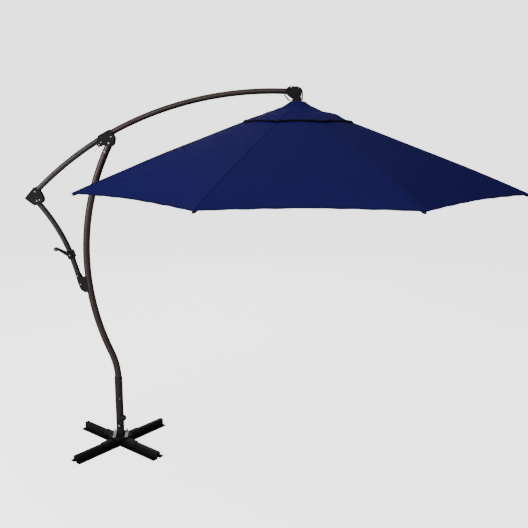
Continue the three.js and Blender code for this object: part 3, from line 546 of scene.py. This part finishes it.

# threads and washers of the four studs
BASE_TURN = math.radians(6)
STUD_AT, STUD_R, BAR_TOP, NUT_TOP, STUD_TOP = 0.043, 0.005, 0.0663, 0.0743, 0.0879
for k in range(4):
    a = math.radians(45 + 90 * k)
    x, y = math.copysign(STUD_AT, math.cos(a)), math.copysign(STUD_AT, math.sin(a))
    at = Matrix.Rotation(BASE_TURN, 4, "Z") @ Vector((x, y, 0))
    thread = [(0.0, NUT_TOP - 0.001)]
    pitch = 0.0015
    turns = int((STUD_TOP - NUT_TOP) / pitch)
    for j in range(turns):
        low = NUT_TOP + j * pitch
        thread += [(STUD_R - 0.0004, low), (STUD_R + 0.0003, low + pitch / 2)]
    thread += [(STUD_R - 0.0006, STUD_TOP - 0.0004), (STUD_R - 0.0014, STUD_TOP), (0.0, STUD_TOP)]
    turned(f"stud_thread_{k + 1}", thread, at, "Z", STEEL, "base", sides=28, sharp=25)
    ring_at = BAR_TOP - 0.0001
    turned(f"stud_washer_{k + 1}", [(0.0, ring_at), (0.0108, ring_at), (0.0108, ring_at + 0.0012),
                                    (0.0102, ring_at + 0.0016), (0.0, ring_at + 0.0016)],
           at, "Z", STEEL, "base", sides=40)

# ------------------------------------------------------------------ brackets, crank and head

for node in ("top_bracket", "corner_bracket", "lower_bracket"):
    bevelled(node, BRACKET, 0.0007, 3)
bevelled("crank_housing", BRACKET, 0.0010, 3)
bevelled("crank_arm", PLASTIC, 0.0014, 3)
bevelled("crank_knob", PLASTIC, 0.0008, 3, smooth=50)
bevelled("boom_head", BRACKET, 0.0009, 3)
bevelled("head_pulley", PLASTIC_GREY, 0.0006, 2)
bevelled("canopy_hub", PLASTIC, 0.0006, 2)
# the collar that closes the canopy's neck round the hub
turned("hub_collar", [(0.0160, -0.0046), (0.0470, -0.0056), (0.0478, -0.0044), (0.0460, -0.0014),
                      (0.0160, -0.0008), (0.0160, -0.0046)],
       (AXIS, 0, NECK_Z), "Z", PLASTIC, "canopy_head", sides=48)
bevelled("hub_yoke", BRACKET, 0.0006, 2)
bevelled("runner", PLASTIC, 0.0006, 2)
bevelled("pull_pin", STEEL, 0.0003, 2)
for node in ("stud_bar_left", "stud_bar_right"):
    bevelled(node, STEEL, 0.0005, 2)
bevelled("hub_pin", BRACKET, 0.0008, 3)

CHEEK_OUT, SIDE_OUT = MAST_R + 0.0046, TUBE_R + 0.0046
cross_bolt("top_boom_bolt", "bolt_top_boom", 0.024, 2.213, CHEEK_OUT, 0.0052)
cross_bolt("top_tail_bolt", "bolt_top_tail", -0.043, 2.177, CHEEK_OUT, 0.0048)
cross_bolt("top_mast_bolt", "bolt_top_mast", 0.008, 2.171, CHEEK_OUT, 0.0068)
cross_bolt("corner_tail_bolt", "bolt_corner_tail", -0.508, 1.8455, SIDE_OUT, 0.0050)
cross_bolt("corner_strut_bolt", "bolt_corner_strut", -0.500, 1.781, SIDE_OUT, 0.0050)
cross_bolt("lower_upper_bolt", "bolt_lower_upper", -0.250, 1.260, SIDE_OUT, 0.0052)
cross_bolt("lower_lower_bolt", "bolt_lower_lower", -0.231, 1.198, SIDE_OUT, 0.0052)
# small rivets that close the folded plates, front and back
for name, x, z, out, size in (
    ("lug_rivet", -0.0575, 2.161, CHEEK_OUT, 0.0044), ("corner_rivet", -0.482, 1.789, SIDE_OUT, 0.0044),
    ("mast_rivet", -0.0228, 2.112, MAST_R - 0.0004, 0.0062),
):
    button_head(f"{name}_front", (x, -out, z), FRONT, size, STEEL, "mast_frame")
    button_head(f"{name}_back", (x, out, z), BACK, size, STEEL, "mast_frame")

# screws of the crank housing, at the corners of both faces, and its clamp screws on the mast side
crank_turn = math.asin((CRANK_Z - STRUT[1]) / STRUT[2])
crank_x = STRUT[0] + STRUT[2] * math.cos(crank_turn)
spindle_x, spindle_z = crank_x - 0.084, CRANK_Z + 0.047
HOUSING_OUT, HEAD_OUT = 0.0239, 0.0235


def on_housing(x, z):
    """A place in the crank housing's own frame, x across the strut and z along it."""
    c, s = math.cos(crank_turn), math.sin(crank_turn)
    return crank_x + x * c - z * s, CRANK_Z + x * s + z * c


for k, (across, up) in enumerate(((-0.0165, -0.022), (0.0165, -0.022), (0.0165, 0.022), (-0.0165, 0.022))):
    x, z = on_housing(across, up)
    button_head(f"housing_screw_front_{k + 1}", (x, -HOUSING_OUT, z), FRONT, 0.0034, BLACK, "mast_frame")
    button_head(f"housing_screw_back_{k + 1}", (x, HOUSING_OUT, z), BACK, 0.0034, BLACK, "mast_frame")
for k, up in enumerate((-0.013, 0.013)):
    x, z = on_housing(0.0233, up)
    out = facing(math.cos(crank_turn), 0, math.sin(crank_turn))
    lock_nut(f"housing_clamp_{k + 1}", (x, 0.0, z), out, 0.0046, BLACK, "mast_frame")
button_head("crank_spindle_head", (spindle_x, -0.0703, spindle_z), FRONT, 0.0034, STEEL, "crank")
turned("crank_knob_rim", [(0.0122, -0.0130), (0.0146, -0.0122), (0.0156, -0.0096), (0.0156, -0.0044),
                          (0.0146, -0.0018), (0.0122, -0.0010), (0.0122, -0.0130)],
       (spindle_x, -0.0700, spindle_z), FRONT, PLASTIC, "crank_knob", sides=36)
button_head("crank_hub_screw", (crank_x, -0.0400, CRANK_Z), FRONT, 0.0044, STEEL, "crank", washer=PLASTIC)

# the head of the boom: bosses round the pin, screws round the drum and the rim that closes its top
for label, sign, way in (("front", -1, FRONT), ("back", 1, BACK)):
    turned(f"head_boss_{label}", [(0.0092, -0.001), (0.0180, -0.001), (0.0176, 0.0016), (0.0166, 0.0026),
                                  (0.0150, 0.0028), (0.0138, 0.0020), (0.0092, 0.0018), (0.0092, -0.001)],
           (PIN[0], sign * HEAD_OUT, PIN[2]), way, BRACKET, "mast_frame", 48)
    for k, (x, z, size, mat) in enumerate((
        (1.2260, 2.5370, 0.0044, STEEL), (1.2760, 2.5360, 0.0036, STEEL), (1.2060, 2.5080, 0.0040, BLACK),
        (1.2360, 2.4740, 0.0040, BLACK),
    )):
        button_head(f"head_screw_{label}_{k + 1}", (x, sign * HEAD_OUT, z), way, size, mat, "mast_frame")


def band(name, line, half_width, thick, mat, body):
    """A bent plate whose section follows a line of (x, z) points, across the middle plane."""
    p, t = np.array(line, float), along(line)
    n = np.stack([-t[:, 1], t[:, 0]], axis=1) * thick / 2
    edge = [(p + n, half_width - 0.0006), (p + n * 0.6, half_width), (p - n * 0.6, half_width),
            (p - n, half_width - 0.0006), (p - n, 0.0006 - half_width), (p - n * 0.6, -half_width),
            (p + n * 0.6, -half_width), (p + n, 0.0006 - half_width)]
    verts = [(float(q[i][0]), y, float(q[i][1])) for i in range(len(p)) for q, y in edge]
    faces = grid_faces(len(p), 8, True)
    faces += [tuple(range(8)), tuple(range(len(verts) - 8, len(verts)))]
    obj = piece(name, verts, faces, mat, body)
    fix_normals(obj)
    return obj


def smooth_line(corners, count):
    """Points of a quadratic curve through the middles of a line's sides."""
    c = np.array(corners, float)
    out = [c[0]]
    for i in range(1, len(c) - 1):
        start = c[0] if i == 1 else (c[i - 1] + c[i]) / 2
        end = c[-1] if i == len(c) - 2 else (c[i] + c[i + 1]) / 2
        for k in range(1, count + 1):
            u = k / count
            out.append((1 - u) ** 2 * start + 2 * u * (1 - u) * c[i] + u * u * end)
    return out


RIM_HALF, RIM_THICK = 0.0198, 0.0024
rim_top = smooth_line([(1.1985, 2.5335), (1.2135, 2.5445), (1.2330, 2.5445), (1.2470, 2.5445)], 6)
rim_low = smooth_line([(1.2010, 2.4925), (1.2085, 2.4845), (1.2300, 2.4705)], 8)
band("head_rim_top", rim_top, RIM_HALF, RIM_THICK, BRACKET, "mast_frame")
band("head_rim_low", rim_low, RIM_HALF, RIM_THICK, BRACKET, "mast_frame")
for k in range(RIBS):
    bevelled(f"rib_{k + 1}", RIB_PAINT, 0.0008, 2)
    bevelled(f"stretcher_{k + 1}", RIB_PAINT, 0.0008, 2)

# ------------------------------------------------------------------ canopy


def fabric_z(r):
    return APEX - (APEX - RIM) * r / R + BOW * np.sin(math.pi * (r / R) ** 2)


def scallop(s, t, mast_side):
    """How much shorter a line from the centre is at that share of the way to mid-gore."""
    free = np.clip((s * R - VENT_R) / (R - VENT_R), 0, None)
    side = np.abs(t)
    depth = np.where(np.sign(t) == mast_side, MAST_SCALLOP, SCALLOP)
    return 1 - depth * free ** 2 * side * (2 - side)


def ripple(s, t):
    """Small tension folds that fan from the tips, and a soft puff of the cloth between the ribs."""
    side = np.abs(t)
    puff = 0.012 * np.sin(math.pi * np.clip(s, 0, 1)) * side * (2 - side)
    fan = 0.0014 * s ** 3 * np.sin(7.5 * math.pi * side) * side * (1 - side) * 4
    slack = 0.0012 * np.sin(5 * math.pi * s + 4.0 * side) * side * (2 - side)
    return puff + fan + slack


def main_surface(s, t, mast_side=0):
    """The main canopy in a rib's own frame: s from centre to tip, t from -1 to 1 across.
    mast_side is the sign of t on the side of the gore beside the mast, or 0."""
    side = np.abs(t)
    reach = s * R * scallop(s, t, mast_side)
    x = reach - math.sin(HALF) ** 2 * side * reach
    y = math.cos(HALF) * math.sin(HALF) * t * reach
    return np.stack([x, y, fabric_z(reach) + ripple(s, t)], axis=-1)


def vent_surface(r, t, turned_by=0.0):
    """The vent cap: it falls steeply from its neck and flattens to a hem that stands off the main cloth
    between the ribs. turned_by is the rib's own angle, so that the folds run on from gore to gore."""
    side = np.abs(t)
    share = (r - NECK_R) / (VENT_R - NECK_R)
    inner = np.clip(share, 0, 1)
    z = NECK_Z - (NECK_Z - VENT_HEM) * (VENT_DISH * (1 - (1 - share) ** 5) + (1 - VENT_DISH) * share)
    z = z + 0.006 * np.sin(math.pi * inner) * side * (2 - side)
    x = r - math.sin(HALF) ** 2 * side * r
    y = math.cos(HALF) * math.sin(HALF) * t * r
    theta = turned_by + np.arctan2(y, x)
    z = z - (0.002 + 0.012 * np.cos(theta) ** 2) * inner ** 5 * (1 - side * (2 - side))
    window = np.sin(math.pi * inner) ** 1.5
    folds = sum(high * np.sin(count * theta + twist * r + phase) for high, count, twist, phase in VENT_FOLDS)
    loose = sum(high * np.exp(-((r - at) / wide) ** 2) for high, at, wide in VENT_ROLLS)
    z = z + folds * window * (0.3 + 0.7 * side * (2 - side))
    z = z + loose * np.exp((np.cos(theta + 0.15) - 1) / 0.09)
    return np.stack([x, y, z], axis=-1)


def surface_normals(surface, a, b, step=1e-4):
    """Upward unit normals; at the outer edges of a wedge they lie in the plane of mid-gore."""
    inside = np.clip(b, -1 + 2e-3, 1 - 2e-3)
    da = surface(a + step, inside) - surface(a - step, inside)
    db = surface(a, inside + step) - surface(a, inside - step)
    n = np.cross(da, db)
    n /= np.linalg.norm(n, axis=-1, keepdims=True)
    n *= np.where(n[..., 2:] < 0, -1, 1)
    for sign in (-1, 1):
        plane = np.array([-sign * math.sin(HALF), math.cos(HALF), 0])
        edge = np.abs(b - sign) < 1e-6
        flat = n - (n @ plane)[..., None] * plane
        n = np.where(edge[..., None], flat / np.linalg.norm(flat, axis=-1, keepdims=True), n)
    return n


def spoke(angle):
    return Matrix.Translation((AXIS, 0, 0)) @ Matrix.Rotation(angle, 4, "Z")


def place(points, angle):
    m = np.array(spoke(angle))
    flat = np.asarray(points, float).reshape(-1, 3)
    return flat @ m[:3, :3].T + m[:3, 3]


def rotate(vectors, angle):
    m = np.array(spoke(angle))[:3, :3]
    return np.asarray(vectors, float).reshape(-1, 3) @ m.T


def fold(obj):
    """Gives a cloth piece a mesh of its own."""
    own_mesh(obj)
    return obj


def cloth_wedge(name, surface, first, last, rows, mat, index, angle, cad=()):
    """A gore: a sheet on a surface, from one place along its rib to another."""
    a, b = np.meshgrid(np.linspace(first, last, rows), COLUMNS, indexing="ij")
    points = surface(a, b)
    normals = surface_normals(surface, a, b)
    uvs = np.stack([points[..., 1], points[..., 0]], axis=-1).reshape(-1, 2)
    faces = [face[::-1] for face in grid_faces(rows, len(COLUMNS))]
    obj = piece(name, place(points, angle), faces, mat, f"rib_{index}", [tuple(v) for v in uvs], sharp=0,
                cad=cad, normals=rotate(normals, angle))
    return fold(obj)


def strip(name, line, normals, across, width, thick, mat, index, angle):
    """A flat ribbon along a line of points, with round edges. across is the direction of its width."""
    section = [(-0.5, 0.15), (-0.46, 0.75), (-0.30, 1.0), (0.30, 1.0), (0.46, 0.75), (0.5, 0.15),
               (0.46, -0.2), (-0.46, -0.2)]
    verts, uvs = [], []
    length = 0
    before = line[0]
    for p, n, c in zip(line, normals, across):
        length += float(np.linalg.norm(p - before))
        before = p
        for u, h in section:
            verts.append(p + c * width * u + n * thick * h)
            uvs.append((width * u, length))
    faces = grid_faces(len(line), len(section), True)
    faces += [tuple(range(len(section))), tuple(range(len(verts) - len(section), len(verts)))]
    obj = piece(name, place(verts, angle), faces, mat, f"rib_{index}", uvs, sharp=50)
    fix_normals(obj)
    return fold(obj)


def dense(count):
    """Places across a wedge, closer together at the rib."""
    half = np.linspace(0, 1, count) ** 1.25
    return np.concatenate([-half[:0:-1], half])


COLUMNS = dense(13)
SEAM_WIDE, SEAM_THICK, SEAM_LIFT = 0.016, 0.0011, 0.0006
HEM_THICK, HEM_LIFT = 0.0016, 0.0002
hem_t = np.linspace(-1, 1, 41)
for i in range(RIBS):
    angle = math.radians(22.5 + 45 * i)
    n = i + 1
    beside = {4: 1, 5: -1}.get(n, 0)

    def outer(s, t, beside=beside):
        return main_surface(s, t, beside)

    def cap(r, t, angle=angle):
        return vent_surface(r, t, angle)

    main = cloth_wedge(f"canopy_main_{n}", outer, VENT_HOLE / R, 1.0, 44, CLOTH, n, angle,
                       cad=[f"canopy_panel_{n}"])
    vent = cloth_wedge(f"canopy_vent_{n}", cap, NECK_R, VENT_R, 40, CLOTH, n, angle)
    # the seams over the rib
    s = np.linspace(VENT_HOLE / R, 0.996, 40)
    zero = np.zeros_like(s)
    up = surface_normals(main_surface, s, zero + 1e-3)
    up[:, 1] = 0
    up /= np.linalg.norm(up, axis=1, keepdims=True)
    sideways = np.tile([0.0, 1.0, 0.0], (len(s), 1))
    seam = strip(f"canopy_seam_{n}", main_surface(s, zero) + up * SEAM_LIFT, up, sideways, SEAM_WIDE,
                 SEAM_THICK, SEAM, n, angle)
    r = np.linspace(NECK_R + 0.004, VENT_R - 0.002, 38)
    zero = np.zeros_like(r)
    up = surface_normals(cap, r, zero + 1e-3)
    up[:, 1] = 0
    up /= np.linalg.norm(up, axis=1, keepdims=True)
    sideways = np.tile([0.0, 1.0, 0.0], (len(r), 1))
    vent_seam = strip(f"canopy_vent_seam_{n}", cap(r, zero) + up * SEAM_LIFT, up, sideways, SEAM_WIDE,
                      SEAM_THICK, SEAM, n, angle)
    # hems: a folded band along each free edge
    for label, surface, edge, inset, width, mat in (
        ("hem", outer, 1.0, 0.011 / R, 0.024, HEM),
        ("vent_hem", cap, VENT_R, 0.010, 0.024, VENT_HEM_DARK_AND_SHADE),
        ("hole_hem", main_surface, VENT_HOLE / R, -0.009 / R, 0.020, HEM),
    ):
        a = np.full_like(hem_t, edge - inset)
        normal = surface_normals(surface, a, hem_t)
        line = surface(a, hem_t)
        inward = surface(a - 0.004, hem_t) - line
        inward -= np.sum(inward * normal, axis=1, keepdims=True) * normal
        inward /= np.linalg.norm(inward, axis=1, keepdims=True)
        lift = normal * HEM_LIFT
        strip(f"canopy_{label}_{n}", line + lift, normal, inward, width, HEM_THICK, mat, n,
                           angle)

# ------------------------------------------------------------------ small parts of each rib

RIB_DROP, RIB_END = 0.0115, 1.484


def loft(name, rings, mat, index, angle, sharp=40):
    """A closed body through rings of points given in a rib's own frame."""
    sides = len(rings[0])
    verts = [p for row in rings for p in row]
    faces = grid_faces(len(rings), sides, True)
    faces += [tuple(range(sides)), tuple(range(len(verts) - sides, len(verts)))]
    uvs = [(0.01 * j, 0.01 * i) for i in range(len(rings)) for j in range(sides)]
    obj = piece(name, place(verts, angle), faces, mat, f"rib_{index}", uvs, sharp=sharp)
    fix_normals(obj)
    return obj


def rounded(x, z, half_width, half_height, corner, steps=4):
    """A ring across a rib: a rectangle with round corners, centred at x and z."""
    points = []
    for k, (sy, sz) in enumerate(((1, 1), (-1, 1), (-1, -1), (1, -1))):
        for j in range(steps + 1):
            a = (k + j / steps) * math.pi / 2
            y = sy * (half_width - corner) + corner * math.cos(a)
            h = sz * (half_height - corner) + corner * math.sin(a)
            points.append((x, y, z + h))
    return points


for i in range(RIBS):
    angle = math.radians(22.5 + 45 * i)
    n = i + 1
    rib_z = lambda r: float(fabric_z(r)) - RIB_DROP
    # the moulded cap that closes the rib's end
    loft(f"rib_cap_{n}", [
        rounded(RIB_END - 0.034, rib_z(RIB_END - 0.034), 0.0066, 0.0080, 0.002),
        rounded(RIB_END - 0.033, rib_z(RIB_END - 0.033), 0.0072, 0.0086, 0.003),
        rounded(RIB_END - 0.003, rib_z(RIB_END - 0.003), 0.0072, 0.0086, 0.003),
        rounded(RIB_END + 0.003, rib_z(RIB_END + 0.003), 0.0062, 0.0076, 0.004),
        rounded(RIB_END + 0.0055, rib_z(RIB_END + 0.005), 0.0042, 0.0050, 0.003),
    ], PLASTIC, n, angle)
    # the cloth pocket that the rib's end sits in
    pocket = []
    for r, wide, deep in ((1.404, 0.0100, 0.0030), (1.408, 0.0110, 0.0090), (1.424, 0.0116, 0.0116),
                          (1.462, 0.0110, 0.0112), (1.476, 0.0102, 0.0106), (1.480, 0.0094, 0.0098)):
        pocket.append(rounded(r, float(fabric_z(r)) - 0.0012 - deep, wide, deep, min(0.0045, deep * 0.9)))
    fold(loft(f"canopy_pocket_{n}", pocket, HEM, n, angle))
    # webbing ties that hold the cloth to the rib
    for j, r in enumerate((0.50, 0.86, 1.18)):
        path = [(0.0120, -0.0016), (0.0082, -0.0040), (0.0074, -0.0100), (0.0073, -0.0178), (0.0050, -0.0202),
                (0.0, -0.0206), (-0.0050, -0.0202), (-0.0073, -0.0178), (-0.0074, -0.0100),
                (-0.0082, -0.0040), (-0.0120, -0.0016)]
        normals = along(path)
        outer_path = [(y - tz * 0.0011, z + ty * 0.0011) for (y, z), (ty, tz) in zip(path, normals)]
        loop = path + outer_path[::-1]
        rows = []
        for offset in (-0.010, -0.009, 0.009, 0.010):
            z0 = float(fabric_z(r + offset))
            rows.append([(r + offset, y, z0 + z) for y, z in loop])
        loft(f"rib_tie_{n}_{j + 1}", rows, WEB, n, angle, sharp=50)

# ------------------------------------------------------------------ floor and light

# what the camera sees is nearly white, and what lights the object is dim
FLOOR, FLOOR_GLOW = 40.0, 2.5
SKY_LIT, SKY_SEEN = 0.10, 2.6
floor = bpy.data.meshes.new("floor")
floor_corners = [(-FLOOR, -FLOOR, 0), (FLOOR, -FLOOR, 0), (FLOOR, FLOOR, 0), (-FLOOR, FLOOR, 0)]
floor.from_pydata(floor_corners, [], [(0, 1, 2, 3)])
ground = bpy.data.objects.new("floor", floor)
bpy.context.scene.collection.objects.link(ground)
pale = Nodes("pale_floor")
pale.set(color=(0.86, 0.86, 0.86), rough=0.9, metal=0.0, spec=0.1)
camera_ray = pale.node("LightPath").outputs["Is Camera Ray"]
glow = pale.node("MapRange", {"Value": camera_ray, "To Min": 0.0, "To Max": FLOOR_GLOW})
pale.shader.inputs["Emission Color"].default_value = (1, 1, 1, 1)
pale.tree.links.new(glow.outputs[0], pale.shader.inputs["Emission Strength"])
floor.materials.append(pale.mat)

world = bpy.data.worlds.new("studio")
bpy.context.scene.world = world
world.use_nodes = True
sky = world.node_tree
sky.nodes["Background"].inputs["Color"].default_value = (1, 1, 1, 1)
ray = sky.nodes.new("ShaderNodeLightPath")
level = sky.nodes.new("ShaderNodeMapRange")
sky.links.new(ray.outputs["Is Camera Ray"], level.inputs["Value"])
level.inputs["To Min"].default_value = SKY_LIT
level.inputs["To Max"].default_value = SKY_SEEN
sky.links.new(level.outputs[0], sky.nodes["Background"].inputs["Strength"])


def area_light(name, at, target, size, power):
    light = bpy.data.objects.new(name, bpy.data.lights.new(name, "AREA"))
    light.data.shape = "SQUARE"
    light.data.size = size
    light.data.energy = power
    light.location = at
    light.rotation_euler = (Vector(target) - Vector(at)).to_track_quat("-Z", "Y").to_euler()
    bpy.context.scene.collection.objects.link(light)


area_light("key", (-4.8, -4.4, 3.5), (0.6, 0, 1.6), 2.5, 540)
area_light("front", (-0.4, -6.4, 4.4), (0.6, 0, 1.3), 1.6, 170)
area_light("fill", (5.4, -4.0, 3.0), (0.9, 0, 1.4), 3.0, 68)
area_light("back", (0.5, 6.0, 3.5), (0.6, 0, 1.4), 3.0, 90)
area_light("top", (1.0, 0.2, 6.5), (1.0, 0, 1.5), 5.0, 170)
